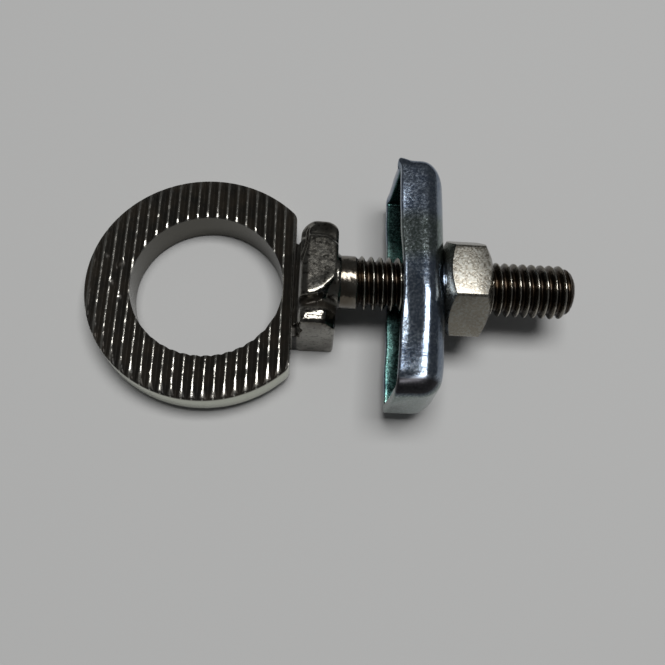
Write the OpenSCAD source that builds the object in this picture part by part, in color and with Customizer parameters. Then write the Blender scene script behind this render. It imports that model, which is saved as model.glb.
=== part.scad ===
// Motorcycle chain adjuster: a forged eye bolt, a pressed end cap and a hexagon nut.
// The axle bore's centre on the underside of the ring is the origin. +X runs along the
// stud towards its free end, and +Z out of the ring's serrated face.

/* [Swinging arm that it fits] */
// Height of the arm's end plate, which the ring covers and the cap closes over
arm_plate_h = 25.1; // [24:0.1:34]
// How far the ring stands past the plate's upper and lower edges
ring_overhang = 1.15; // [0.8:0.05:2]
// Clearance between the plate's edges and the walls of the cap
cap_fit = 0.2; // [0.1:0.05:0.5]

/* [Ring] */
// Diameter of the wheel axle that passes through the ring
axle_d = 17; // [12:0.5:18]
// Radial clearance between the axle and the bore
axle_clearance = 0.17; // [0.05:0.01:0.4]
// Thickness of the ring from its underside to the crests of its serrations
ring_t = 4.8; // [3.6:0.1:7]
// Distance from the bore's centre to the flat beside the lug
flat_x = 9.85; // [9.6:0.05:11]
// Radius of the two corners where the flat meets the round
flat_corner_r = 1.5; // [0.5:0.1:2.5]
// Radius of the forged edge round the underside
underside_edge_r = 1.6; // [0.5:0.1:2]
// Width of the band inside the ring's outside where the crests are rolled over
face_roll_w = 2; // [0.5:0.1:3]
// How far the crests have dropped where they meet the outside
face_roll_drop = 0.35; // [0.1:0.05:0.4]
// Chamfer at the lower mouth of the bore
bore_chamfer = 0.3; // [0.1:0.05:0.6]

/* [Serrations] */
// Distance from one crest to the next
serration_pitch = 1.14; // [0.9:0.02:2]
// Depth of the grooves
serration_depth = 0.45; // [0.2:0.05:0.8]
// Width of the flat on each crest
serration_crest = 0.2; // [0.1:0.05:0.4]
// Width of the floor of each groove
serration_root = 0.2; // [0.1:0.05:0.4]
// Angle of the crests off the square to the stud
serration_turn = 0.75; // [0:0.25:5]
// Distance from the bore's centre to the nearest crest
serration_shift = 0.58; // [0:0.02:1.1]

/* [Lug] */
// Width of the neck between the ring's flat and the lug
neck_l = 0.7; // [0.5:0.1:2]
// Width of the neck across the stud
neck_w = 10.2; // [7:0.1:10.6]
// How far the neck is forged off the stud's axis
neck_shift = 0.4; // [0:0.1:0.5]
// Length of the lug along the stud
lug_l = 4.1; // [3:0.1:7]
// Width of the lug, which is guided in the fork end's slot
lug_w = 12; // [11:0.1:16]
// Height of the lug's two shoulders above the ring's underside
shoulder_h = 9; // [8:0.1:11]
// Radius of the lug's forged edges
lug_edge_r = 1.1; // [0.5:0.1:1.4]
// Height of the raised boss at the stud's root above the ring's underside
boss_h = 10.2; // [9.6:0.1:12]
// Width of the raised boss across the stud
boss_w = 7; // [5:0.1:9]
// How far the boss is forged off the stud's axis
boss_shift = 0.8; // [0:0.1:1]
// How much narrower the boss is at its end towards the stud
boss_skew = 2.3; // [0:0.1:3]
// Width of the cross groove beside the boss
groove_w = 0.9; // [0.4:0.1:1.4]
// Depth of the cross groove below the shoulder
groove_depth = 0.5; // [0.2:0.1:1]

/* [Stud] */
// Nominal thread diameter of the stud
stud_d = 6; // [5:0.5:6]
// Height of the stud's axis above the serrated face
stud_rise = 2.03; // [1:0.01:3]
// Distance from the bore's centre to the stud's free end
stud_end_x = 40.8; // [36:0.1:60]
// Chamfer on the free end
stud_chamfer = 0.7; // [0.3:0.1:1]
// Radius of the fillet where the stud leaves the lug
root_fillet_r = 0.5; // [0.2:0.1:0.8]

/* [End cap] */
// How far the nut's flats stand past the cap's upper and lower walls
nut_past_cap = 0.1; // [0:0.05:0.5]
// Depth of the cap from its closed face to the lower rim
cap_depth = 5.6; // [5:0.1:9]
// Thickness of the sheet
cap_t = 1; // [0.8:0.1:1.5]
// Outside radius of the bend between the closed face and the walls
cap_bend_r = 2.7; // [1.6:0.1:4]
// Inside radius of the corners between the walls
cap_corner_r = 0.3; // [0.2:0.1:1.2]
// How much shorter the cap's upper wall is than its lower wall
cap_rim_slant = 0.8; // [0:0.1:1.5]
// Radial clearance between the stud and the hole in the cap
cap_hole_clearance = 0.3; // [0.1:0.05:0.8]

/* [Nut] */
// Width across the nut's flats
nut_af = 10; // [9:0.5:13]
// Thickness of the nut
nut_t = 5; // [4:0.1:7]
// Radial clearance between the stud and the nut
nut_clearance = 0.05; // [0.02:0.01:0.1]
// Diameter of the nut's bearing face inside its corner chamfers
nut_face_d = 8.8; // [7.5:0.1:9]
// Chamfer at each mouth of the threaded hole
nut_bore_chamfer = 0.4; // [0.2:0.1:0.8]
// Angle of the corner chamfers
nut_chamfer_angle = 30; // [20:1:35]
// Angle of the upper flat from level
nut_angle = 4.4; // [0:0.1:60]
// Distance from the bore's centre to the nut's face against the cap
nut_x = 26.25; // [24:0.05:32]

/* [Hidden] */
$fn = 96;
eps = 0.01;
hull_fn = 24;
ring_r = arm_plate_h / 2 + ring_overhang;
cap_w = arm_plate_h + 2 * (cap_fit + cap_t);
cap_h = nut_af - 2 * nut_past_cap;
bore_r = axle_d / 2 + axle_clearance;
stud_r = stud_d / 2;
stud_z = ring_t + stud_rise;
lug_x = flat_x + neck_l;
lug_end_x = lug_x + lug_l;
cap_face_x = nut_x;

// A cylinder along +X on the stud's axis, from x to x + l
module along_stud(x, l, r, r2 = undef) {
    translate([x, 0, stud_z]) rotate([0, 90, 0])
        cylinder(h = l, r1 = r, r2 = is_undef(r2) ? r : r2);
}

// Half section of the solid disc that the ring is cut from
module ring_section() {
    difference() {
        square([ring_r, ring_t]);
        difference() {
            translate([ring_r - underside_edge_r, -eps])
                square([underside_edge_r + eps, underside_edge_r + eps]);
            translate([ring_r - underside_edge_r, underside_edge_r])
                circle(r = underside_edge_r);
        }
        polygon([[ring_r - face_roll_w, ring_t], [ring_r, ring_t - face_roll_drop],
                 [ring_r + eps, ring_t - face_roll_drop], [ring_r + eps, ring_t + eps],
                 [ring_r - face_roll_w, ring_t + eps]]);
    }
}

// What is cut away outside the round between the ring's flat and its outside
module flat_corner_cut() {
    centre_x = flat_x - flat_corner_r;
    centre_y = sqrt(pow(ring_r - flat_corner_r, 2) - pow(centre_x, 2));
    reach = 2 * flat_corner_r;
    sweep = atan2(centre_y, centre_x);
    translate([centre_x, centre_y, -eps])
        linear_extrude(ring_t + 2 * eps)
            difference() {
                polygon([[0, 0], [reach, 0], [reach, reach],
                         [reach * cos(sweep), reach * sin(sweep)]]);
                circle(r = flat_corner_r);
            }
}

// One groove between two crests, lying along Y
module serration_groove() {
    top_w = serration_pitch - serration_crest;
    flank = (top_w - serration_root) / 2;
    rise = eps * flank / serration_depth;
    reach = ring_r + serration_pitch;
    translate([0, reach, ring_t - serration_depth]) rotate([90, 0, 0])
        linear_extrude(2 * reach)
            polygon([[-serration_root / 2, 0], [serration_root / 2, 0],
                     [top_w / 2 + rise, serration_depth + eps],
                     [-top_w / 2 - rise, serration_depth + eps]]);
}

// The grooves over the whole face
module serrations() {
    count = ceil(ring_r / serration_pitch) + 1;
    rotate([0, 0, serration_turn])
        for (i = [-count : count])
            translate([serration_shift + (i + 0.5) * serration_pitch, 0, 0])
                serration_groove();
}

// The D-shaped ring with its serrated face
module ring() {
    difference() {
        intersection() {
            rotate_extrude() ring_section();
            translate([-2 * ring_r, -2 * ring_r, 0])
                cube([2 * ring_r + flat_x, 4 * ring_r, ring_t]);
        }
        flat_corner_cut();
        mirror([0, 1, 0]) flat_corner_cut();
        serrations();
    }
}

// A block with round upright edges and round top edges, its -Y side askew by skew
module forged_block(x0, x1, y0, y1, z0, z1, r, skew = 0) {
    hull()
        for (c = [[x0 + r, y0 + r], [x1 - r, y0 + skew + r], [x0 + r, y1 - r], [x1 - r, y1 - r]]) {
            translate([c.x, c.y, z0]) cylinder(r = r, h = eps, $fn = hull_fn);
            translate([c.x, c.y, z1 - r]) sphere(r = r, $fn = hull_fn);
        }
}

// The lug: shoulders that run in the fork end's slot, and a boss at the stud's root
module lug() {
    boss_y = boss_shift - boss_w / 2;
    difference() {
        forged_block(lug_x, lug_end_x, -lug_w / 2, lug_w / 2, 0, shoulder_h, lug_edge_r);
        translate([lug_x - eps, boss_y - groove_w / 2, shoulder_h])
            rotate([0, 90, 0]) cylinder(r = groove_depth, h = lug_l + 2 * eps, $fn = 24);
    }
    forged_block(lug_x + 0.1 * lug_l, lug_end_x, boss_y, boss_y + boss_w,
                 ring_t, boss_h, lug_edge_r, boss_skew);
}

// The neck that carries the lug on the ring's flat, with a round inside each corner
module neck() {
    half = neck_w / 2;
    translate([0, neck_shift, 0])
        difference() {
            translate([flat_x - eps, -half - neck_l / 2, 0])
                cube([neck_l + lug_edge_r, neck_w + neck_l, ring_t - face_roll_drop]);
            for (side = [-1, 1])
                translate([flat_x + neck_l / 2, side * (half + neck_l / 2), -eps])
                    cylinder(r = neck_l / 2, h = ring_t + 2 * eps);
        }
}

// The stud: a plain cylinder of the thread's nominal diameter
module stud() {
    body_end = stud_end_x - stud_chamfer;
    along_stud(lug_x + lug_l / 2, body_end - lug_x - lug_l / 2, stud_r);
    along_stud(body_end, stud_chamfer, stud_r, stud_r - stud_chamfer);
    along_stud(lug_end_x - eps, root_fillet_r + eps, stud_r + root_fillet_r, stud_r);
}

// Ring, lug and stud are one forging
module eye_bolt() {
    color("dimgray")
        difference() {
            union() {
                ring();
                neck();
                lug();
                stud();
            }
            translate([0, 0, -eps]) cylinder(r = bore_r, h = ring_t + 2 * eps);
            translate([0, 0, -eps])
                cylinder(r1 = bore_r + bore_chamfer + eps, r2 = bore_r, h = bore_chamfer + eps);
        }
}

// What is cut away to round an edge that lies along +Z, with the solid towards -X and -Y
module edge_cut(r, l) {
    linear_extrude(l)
        translate([-r, -r])
            difference() {
                square(r + eps);
                circle(r = r);
            }
}

// A block with round corners and a round edge to its closed face, inset from the cap's outside
module cap_form(inset) {
    bend_r = cap_bend_r - inset;
    corner_r = cap_corner_r + cap_t - inset;
    half_w = cap_w / 2 - inset;
    half_h = cap_h / 2 - inset;
    translate([cap_face_x - inset, 0, stud_z])
        difference() {
            translate([-cap_depth, -half_w, -half_h])
                cube([cap_depth, 2 * half_w, 2 * half_h]);
            for (far = [0, 1], low = [0, 1])
                mirror([0, far, 0]) mirror([0, 0, low])
                    translate([-cap_depth - eps, half_w, half_h]) rotate([90, 0, 90])
                        edge_cut(corner_r, cap_depth + 2 * eps);
            for (other = [0, 1]) {
                mirror([0, other, 0]) translate([0, half_w, -half_h - eps])
                    edge_cut(bend_r, 2 * (half_h + eps));
                mirror([0, 0, other]) translate([0, half_w + eps, half_h]) rotate([90, 0, 0])
                    edge_cut(bend_r, 2 * (half_w + eps));
            }
        }
}

// The pressed cap that closes over the end of the swinging arm's plate
module end_cap() {
    lean = atan(cap_rim_slant / cap_h);
    color("lightsteelblue")
        difference() {
            cap_form(0);
            cap_form(cap_t);
            along_stud(cap_face_x - cap_bend_r, 2 * cap_bend_r, stud_r + cap_hole_clearance);
            translate([cap_face_x - cap_depth, 0, stud_z - cap_h / 2])
                rotate([0, lean, 0])
                    translate([-cap_depth, -cap_w, -cap_h])
                        cube([cap_depth, 2 * cap_w, 3 * cap_h]);
        }
}

// Outline of the nut turned about its axis: it takes the corner chamfers off both ends
module nut_turning() {
    corner_r = nut_af / sqrt(3) + eps;
    face_r = nut_face_d / 2;
    drop = (corner_r - face_r) * tan(nut_chamfer_angle);
    rotate_extrude()
        polygon([[0, 0], [face_r, 0], [corner_r, drop],
                 [corner_r, nut_t - drop], [face_r, nut_t], [0, nut_t]]);
}

// The hexagon nut
module hex_nut() {
    bore = stud_r + nut_clearance;
    mouth = nut_bore_chamfer;
    color("silver")
        translate([nut_x, 0, stud_z]) rotate([nut_angle, 0, 0]) rotate([0, 90, 0])
            difference() {
                intersection() {
                    rotate([0, 0, 30]) cylinder(r = nut_af / sqrt(3), h = nut_t, $fn = 6);
                    nut_turning();
                }
                translate([0, 0, -eps]) cylinder(r = bore, h = nut_t + 2 * eps);
                translate([0, 0, -eps]) cylinder(r1 = bore + mouth, r2 = bore, h = mouth);
                translate([0, 0, nut_t - mouth + eps])
                    cylinder(r1 = bore, r2 = bore + mouth, h = mouth);
            }
}

eye_bolt();
end_cap();
hex_nut();
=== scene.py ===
import math

import bmesh
import bpy
from mathutils import Matrix, Vector, noise


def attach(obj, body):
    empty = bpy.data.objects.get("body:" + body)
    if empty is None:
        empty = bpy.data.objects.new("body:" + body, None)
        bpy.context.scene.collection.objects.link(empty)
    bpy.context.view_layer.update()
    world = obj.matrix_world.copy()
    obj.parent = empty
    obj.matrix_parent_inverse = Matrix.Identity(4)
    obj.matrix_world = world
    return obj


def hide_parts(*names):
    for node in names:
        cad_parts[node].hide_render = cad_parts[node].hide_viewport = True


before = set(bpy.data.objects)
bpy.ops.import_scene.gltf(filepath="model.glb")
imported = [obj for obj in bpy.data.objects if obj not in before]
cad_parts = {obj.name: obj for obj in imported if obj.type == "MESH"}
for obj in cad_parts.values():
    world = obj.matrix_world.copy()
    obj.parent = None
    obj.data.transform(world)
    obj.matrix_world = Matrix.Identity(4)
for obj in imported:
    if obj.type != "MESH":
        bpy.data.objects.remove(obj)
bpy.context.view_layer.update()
MM = 0.001


# Ring of the eye bolt: one end of a steel forging, D-shaped, with a bore for the axle.
# Its upper face is broached with straight serrations that bite on the fork end, and the
# barrel it was tumbled in has rolled the outer edge over, so the crests widen there.
BORE_R = 8.67
RING_R = 13.7
RING_T = 4.8
FLAT_X = 9.85
FLAT_CORNER_R = 1.5
UNDERSIDE_EDGE_R = 1.6
SERRATION_PITCH = 1.14
SERRATION_DEPTH = 0.45
SERRATION_CREST = 0.12
SERRATION_ROOT = 0.06
SERRATION_SHIFT = 0.58
SERRATION_TURN = math.radians(0.75)
SERRATION_COUNT = 26
STEPS_PER_PITCH = 12
SLAB_ROW_STEP = 0.2
CREST_STRAY = 0.035
CREST_WEAR = 0.1
ROLL_W = 2.0
ROLL_DROP = 0.35
FLAT_ROLL_W = 0.9
FLAT_DROP = 0.35
BORE_EDGE_W = 0.35
BORE_EDGE_DROP = 0.12
BORE_CHAMFER = 0.3
LUG_X = 10.5
VALLEY_Y = -3.55
VALLEY_SHADE_Z = (8.9, 9.3)
DENT_DEPTH = 0.22
DENTS = [(-9.9, 1.9, 0.5), (-10.6, -0.4, 0.35), (-9.5, -2.2, 0.35), (-11.6, 3.0, 0.3)]


def add(tree, kind, inputs=(), **settings):
    """One node with its settings; an input takes a value, a socket or a node's first output."""
    node = tree.nodes.new(kind)
    for name, value in settings.items():
        setattr(node, name, value)
    for key, value in inputs.items() if isinstance(inputs, dict) else enumerate(inputs):
        if isinstance(value, bpy.types.Node):
            value = value.outputs[0]
        if isinstance(value, bpy.types.NodeSocket):
            tree.links.new(value, node.inputs[key])
        else:
            node.inputs[key].default_value = value
    return node


def geometry_tree(name, sizes):
    """An empty Geometry Nodes tree with a named input for each size."""
    tree = bpy.data.node_groups.new(name, "GeometryNodeTree")
    tree.interface.new_socket("Geometry", in_out="OUTPUT", socket_type="NodeSocketGeometry")
    for size_name in sizes:
        tree.interface.new_socket(size_name, in_out="INPUT", socket_type="NodeSocketFloat")
    return tree, add(tree, "NodeGroupInput").outputs


def end_tree(tree, geometry, material):
    """Ends a tree in Realize Instances and Set Material."""
    real = add(tree, "GeometryNodeRealizeInstances", [geometry])
    dressed = add(tree, "GeometryNodeSetMaterial", {"Geometry": real, "Material": material})
    add(tree, "NodeGroupOutput", [dressed])


def piece_from(name, mesh):
    """An object at the origin for a finished mesh."""
    piece = bpy.data.objects.new(name, mesh)
    bpy.context.collection.objects.link(piece)
    return piece


def applied(piece):
    """Turns a piece's modifiers into its plain mesh."""
    evaluated = piece.evaluated_get(bpy.context.evaluated_depsgraph_get())
    mesh = bpy.data.meshes.new_from_object(evaluated)
    piece.modifiers.clear()
    piece.data = mesh
    return piece


def piece_from_tree(name, tree, sizes):
    """Runs a tree with its sizes and keeps the result as a plain mesh."""
    piece = piece_from(name, bpy.data.meshes.new(name))
    modifier = piece.modifiers.new("tree", "NODES")
    modifier.node_group = tree
    for item in tree.interface.items_tree:
        if item.in_out == "INPUT":
            modifier[item.identifier] = sizes[item.name]
    return applied(piece)


def clean(piece):
    """Merges doubles and turns every face of a closed mesh outwards."""
    work = bmesh.new()
    work.from_mesh(piece.data)
    bmesh.ops.remove_doubles(work, verts=work.verts, dist=0.0005 * MM)
    bmesh.ops.dissolve_degenerate(work, edges=work.edges, dist=0.0002 * MM)
    bmesh.ops.recalc_face_normals(work, faces=work.faces)
    if work.calc_volume(signed=True) < 0:
        bmesh.ops.reverse_faces(work, faces=work.faces)
    work.to_mesh(piece.data)
    work.free()


def swept(name, loops, material, closed=True):
    """A closed mesh through loops of points in millimetres: last joined to first, or both capped."""
    count = len(loops[0])
    vertices = [(x * MM, y * MM, z * MM) for loop in loops for x, y, z in loop]
    faces = []
    for k in range(len(loops) if closed else len(loops) - 1):
        this, following = k * count, (k + 1) % len(loops) * count
        for i in range(count):
            j = (i + 1) % count
            faces.append((this + i, this + j, following + j, following + i))
    if not closed:
        faces.append(tuple(range(count)))
        faces.append(tuple(range(len(vertices) - count, len(vertices))))
    mesh = bpy.data.meshes.new(name)
    mesh.from_pydata(vertices, [], faces)
    mesh.materials.append(material)
    piece = piece_from(name, mesh)
    clean(piece)
    return piece


def combined(piece, tool, operation):
    """Cuts, joins or intersects a piece with a tool, which is used up."""
    modifier = piece.modifiers.new("cut", "BOOLEAN")
    modifier.operation = operation
    modifier.solver = "EXACT"
    modifier.object = tool
    applied(piece)
    bpy.data.objects.remove(tool)


def shaded(piece, crease_degrees):
    """Smooth shading with creases where faces meet more sharply than the given angle."""
    for polygon in piece.data.polygons:
        polygon.use_smooth = True
    piece.data.set_sharp_from_angle(angle=math.radians(crease_degrees))


def linear(hex_colour):
    """A colour written as sRGB hex, in Blender's linear values."""
    values = [int(hex_colour[i:i + 2], 16) / 255 for i in (1, 3, 5)]
    return [v / 12.92 if v <= 0.04045 else ((v + 0.055) / 1.055) ** 2.4 for v in values] + [1.0]


def metal(name):
    """A metal's material with its tree and shader, and the piece's own coordinates."""
    material = bpy.data.materials.new(name)
    material.use_nodes = True
    tree = material.node_tree
    shader = tree.nodes["Principled BSDF"]
    shader.inputs["Metallic"].default_value = 1.0
    return material, tree, shader, add(tree, "ShaderNodeTexCoord").outputs["Object"]


# Forged and broached steel with a thin bright plating. The crests are rubbed bright and
# slightly pitted, oil and painted shade keep the grooves dark and brown, painted shade darkens
# the neck between ring and lug, the lug's valley and the bore's wall, and forging scale
# mottles the rest. Pits and grain are drawn coarser than the real ones, so that they show.
plated_forging, tree, shader, place = metal("bright_plated_forging")
in_slab = add(tree, "ShaderNodeMapping", {
    "Vector": place, "Location": (SERRATION_SHIFT * MM, 0, 0), "Rotation": (0, 0, SERRATION_TURN)},
    vector_type="TEXTURE")
slab_x, _, height = add(tree, "ShaderNodeSeparateXYZ", [in_slab]).outputs
off_crest = add(tree, "ShaderNodeMath", [slab_x, SERRATION_PITCH / 2 * MM], operation="PINGPONG")
below_crest = add(tree, "ShaderNodeMapRange", [
    off_crest, SERRATION_CREST * 0.4 * MM, SERRATION_CREST * 1.1 * MM, 0.0, 1.0])
above_roots = add(tree, "ShaderNodeMath", [height, (RING_T - SERRATION_DEPTH - 0.06) * MM],
                  operation="GREATER_THAN")
on_ring = add(tree, "ShaderNodeMath", [slab_x, (FLAT_X - SERRATION_SHIFT + 0.05) * MM],
              operation="LESS_THAN")
on_face = add(tree, "ShaderNodeMath", [above_roots, on_ring], operation="MULTIPLY")
# The grooves are painted dark: partly oil, partly painted shade in the grooves.
groove = add(tree, "ShaderNodeMath", [on_face, below_crest], operation="MULTIPLY")
crest = add(tree, "ShaderNodeMath", [on_face, groove], operation="SUBTRACT")
flat_place = add(tree, "ShaderNodeVectorMath", [place, (1, 1, 0)], operation="MULTIPLY")
radius = add(tree, "ShaderNodeVectorMath", [flat_place], operation="LENGTH").outputs["Value"]
outwards = add(tree, "ShaderNodeMapRange", [radius, (RING_R - 0.5) * MM, (RING_R - 0.2) * MM, 0.0, 1.0])
below_face = add(tree, "ShaderNodeMapRange", [height, (RING_T - 0.5) * MM, (RING_T - 0.8) * MM, 0.0, 1.0])
low_outside = add(tree, "ShaderNodeMath", [outwards, below_face], operation="MULTIPLY")
outer_wall = add(tree, "ShaderNodeMath", [low_outside, on_ring], operation="MULTIPLY")
bore_wall = add(tree, "ShaderNodeMapRange", [radius, (BORE_R + 0.1) * MM, (BORE_R + 0.3) * MM, 1.0, 0.0])
part_x, part_y, _ = add(tree, "ShaderNodeSeparateXYZ", [place]).outputs
# Painted shade: the neck between the ring's flat and the lug is darkened, as the lug shades it.
off_neck = add(tree, "ShaderNodeMapRange", [part_x, (LUG_X - 0.1) * MM, (LUG_X + 0.1) * MM, 1.0, 0.0])
neck_shade = add(tree, "ShaderNodeMath", [off_neck, on_ring], operation="SUBTRACT", use_clamp=True)
# Painted shade: a band along the lug's valley, below a set height, is darkened as if in shadow.
off_valley = add(tree, "ShaderNodeMath", [part_y, VALLEY_Y * MM], operation="SUBTRACT")
valley_gap = add(tree, "ShaderNodeMath", [off_valley], operation="ABSOLUTE")
in_valley = add(tree, "ShaderNodeMapRange", [valley_gap, 0.3 * MM, 0.75 * MM, 1.0, 0.0])
low_enough = add(tree, "ShaderNodeMapRange", [
    height, VALLEY_SHADE_Z[0] * MM, VALLEY_SHADE_Z[1] * MM, 1.0, 0.0])
valley_shade = add(tree, "ShaderNodeMath", [in_valley, low_enough], operation="MULTIPLY")
past_ring = add(tree, "ShaderNodeMath", [valley_shade, on_ring], operation="SUBTRACT", use_clamp=True)
painted_shade = add(tree, "ShaderNodeMath", [neck_shade, past_ring], operation="MAXIMUM")
oil_and_shade = add(tree, "ShaderNodeMath", [groove, painted_shade], operation="MAXIMUM")
blotch = add(tree, "ShaderNodeTexNoise", {"Vector": place, "Scale": 1 / (2.4 * MM), "Detail": 4,
                                          "Roughness": 0.6})
grain = add(tree, "ShaderNodeTexNoise", {"Vector": place, "Scale": 1 / (0.3 * MM), "Detail": 4,
                                         "Roughness": 0.6})
blotch_share = add(tree, "ShaderNodeMapRange", [blotch, 0.35, 0.65, 0.0, 1.0])
body = add(tree, "ShaderNodeMix", {0: blotch_share, 6: linear("#87857e"), 7: linear("#5b5750")},
           data_type="RGBA")
pits = add(tree, "ShaderNodeTexNoise", {"Vector": place, "Scale": 1 / (0.42 * MM), "Detail": 3})
pit_share = add(tree, "ShaderNodeMapRange", [pits, 0.56, 0.64, 0.0, 0.75])
pitted = add(tree, "ShaderNodeMix", {0: pit_share, 6: body.outputs[2], 7: linear("#2c2a26")},
             data_type="RGBA")
outside = add(tree, "ShaderNodeMix", {0: outer_wall, 6: pitted.outputs[2], 7: linear("#c3c6b8")},
              data_type="RGBA")
# Painted shade: the bore's wall is an even darker grey, as shade inside the bore.
shaded_bore = add(tree, "ShaderNodeMix", {0: bore_wall, 6: outside.outputs[2], 7: linear("#5c5a54")},
             data_type="RGBA")
rubbed = add(tree, "ShaderNodeMix", {0: crest, 6: shaded_bore.outputs[2], 7: linear("#a3a19a")},
             data_type="RGBA")
# Brown, near-black colour for the grooves' oil and for the painted shade in the grooves, the neck and the
# lug's valley.
oil_and_shade_colour = add(tree, "ShaderNodeMix", {0: blotch_share, 6: linear("#1e1d1a"), 7: linear("#2f2a23")},
          data_type="RGBA")
colour = add(tree, "ShaderNodeMix", {0: oil_and_shade, 6: rubbed.outputs[2], 7: oil_and_shade_colour.outputs[2]},
             data_type="RGBA")
tree.links.new(colour.outputs[2], shader.inputs["Base Color"])
bare = add(tree, "ShaderNodeMapRange", [oil_and_shade, 0.0, 1.0, 1.0, 0.55])
tree.links.new(bare.outputs[0], shader.inputs["Metallic"])
roughness = add(tree, "ShaderNodeMapRange", [grain, 0.3, 0.7, 0.14, 0.27])
dull_oil_and_shade = add(tree, "ShaderNodeMath", [oil_and_shade, 0.25, roughness], operation="MULTIPLY_ADD")
tree.links.new(dull_oil_and_shade.outputs[0], shader.inputs["Roughness"])
scale_bump = add(tree, "ShaderNodeBump", {"Height": blotch, "Distance": 0.012 * MM})
grain_bump = add(tree, "ShaderNodeBump", {"Height": grain, "Distance": 0.01 * MM, "Normal": scale_bump})
tree.links.new(grain_bump.outputs[0], shader.inputs["Normal"])

# The serrated slab: a block whose upper points follow the crests, the rolled outer edge
# and the broken edge of the bore. Crest noise is drawn a little coarser than the real one.
slab_sizes = {
    "Serrations": SERRATION_COUNT, "Pitch": SERRATION_PITCH * MM, "Depth": SERRATION_DEPTH * MM,
    "Crest": SERRATION_CREST * MM, "Root": SERRATION_ROOT * MM, "Shift": SERRATION_SHIFT * MM,
    "Turn": SERRATION_TURN, "Thickness": RING_T * MM, "Outer radius": RING_R * MM,
    "Bore radius": BORE_R * MM, "Roll width": ROLL_W * MM, "Roll drop": ROLL_DROP * MM,
    "Flat": FLAT_X * MM, "Flat roll width": FLAT_ROLL_W * MM, "Flat drop": FLAT_DROP * MM,
    "Bore edge width": BORE_EDGE_W * MM, "Bore edge drop": BORE_EDGE_DROP * MM,
    "Wear": CREST_WEAR * MM}
tree, given = geometry_tree("serrated_slab", slab_sizes)
length = add(tree, "ShaderNodeMath", [given["Serrations"], given["Pitch"]], operation="MULTIPLY")
columns = add(tree, "ShaderNodeMath", [given["Serrations"], STEPS_PER_PITCH, 1], operation="MULTIPLY_ADD")
rows = add(tree, "ShaderNodeMath", [length, SLAB_ROW_STEP * MM], operation="DIVIDE")
size = add(tree, "ShaderNodeCombineXYZ", [length, length, given["Thickness"]])
block = add(tree, "GeometryNodeMeshCube", [size, columns, rows, 2])
half_up = add(tree, "ShaderNodeMath", [given["Thickness"], 0.5], operation="MULTIPLY")
lift = add(tree, "ShaderNodeCombineXYZ", {2: half_up})
raised = add(tree, "GeometryNodeTransform", {"Geometry": block, "Translation": lift})
here = add(tree, "GeometryNodeInputPosition")
x, y, z = add(tree, "ShaderNodeSeparateXYZ", [here]).outputs
ragged = add(tree, "ShaderNodeTexNoise", {"Vector": here, "Scale": 1 / (0.35 * MM), "Detail": 2})
stray = add(tree, "ShaderNodeMapRange", [ragged, 0.25, 0.75, -CREST_STRAY * MM, CREST_STRAY * MM])
ragged_x = add(tree, "ShaderNodeMath", [x, stray], operation="ADD")
half_pitch = add(tree, "ShaderNodeMath", [given["Pitch"], 0.5], operation="MULTIPLY")
off_crest = add(tree, "ShaderNodeMath", [ragged_x, half_pitch], operation="PINGPONG")
half_crest = add(tree, "ShaderNodeMath", [given["Crest"], 0.5], operation="MULTIPLY")
flank_end = add(tree, "ShaderNodeMath", [given["Root"], -0.5, half_pitch], operation="MULTIPLY_ADD")
fall = add(tree, "ShaderNodeMapRange", [off_crest, half_crest, flank_end, 0.0, given["Depth"]])
ring_x = add(tree, "ShaderNodeMath", [x, given["Shift"]], operation="ADD")
from_bore = add(tree, "ShaderNodeCombineXYZ", [ring_x, y])
radius = add(tree, "ShaderNodeVectorMath", [from_bore], operation="LENGTH").outputs["Value"]
roll_start = add(tree, "ShaderNodeMath", [given["Outer radius"], given["Roll width"]],
                 operation="SUBTRACT")
roll_share = add(tree, "ShaderNodeMapRange", [radius, roll_start, given["Outer radius"], 0.0, 1.0])
roll_bend = add(tree, "ShaderNodeMath", [roll_share, 2.0], operation="POWER")
roll = add(tree, "ShaderNodeMath", [roll_bend, given["Roll drop"]], operation="MULTIPLY")
broken_end = add(tree, "ShaderNodeMath", [given["Bore radius"], given["Bore edge width"]],
                 operation="ADD")
broken = add(tree, "ShaderNodeMapRange", [
    radius, given["Bore radius"], broken_end, given["Bore edge drop"], 0.0])
wear = add(tree, "ShaderNodeTexNoise", {"Vector": here, "Scale": 1 / (1.1 * MM), "Detail": 3})
worn = add(tree, "ShaderNodeMapRange", [wear, 0.5, 0.8, 0.0, given["Wear"]])
beside_flat = add(tree, "ShaderNodeMath", [given["Flat"], given["Flat roll width"]], operation="SUBTRACT")
flat_share = add(tree, "ShaderNodeMapRange", [ring_x, beside_flat, given["Flat"], 0.0, 1.0])
flat_bend = add(tree, "ShaderNodeMath", [flat_share, 2.0], operation="POWER")
flat_roll = add(tree, "ShaderNodeMath", [flat_bend, given["Flat drop"]], operation="MULTIPLY")
round_edges = add(tree, "ShaderNodeMath", [roll, broken], operation="MAXIMUM")
edges = add(tree, "ShaderNodeMath", [round_edges, flat_roll], operation="MAXIMUM")
lowered = add(tree, "ShaderNodeMath", [edges, worn], operation="ADD")
deepest = add(tree, "ShaderNodeMath", [lowered, fall, 0.03 * MM], operation="SMOOTH_MAX")
top = add(tree, "ShaderNodeMath", [given["Thickness"], deepest], operation="SUBTRACT")
upper = add(tree, "ShaderNodeMath", [z, half_up], operation="GREATER_THAN")
moved = add(tree, "ShaderNodeCombineXYZ", [x, y, top])
shaped = add(tree, "GeometryNodeSetPosition", [raised, upper, moved])
shift = add(tree, "ShaderNodeCombineXYZ", {0: given["Shift"]})
turn = add(tree, "ShaderNodeCombineXYZ", {2: given["Turn"]})
turned = add(tree, "GeometryNodeTransform", {"Geometry": shaped, "Translation": shift, "Rotation": turn})
end_tree(tree, turned, plated_forging)
ring = piece_from_tree("ring_and_lug", tree, slab_sizes)
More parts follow.
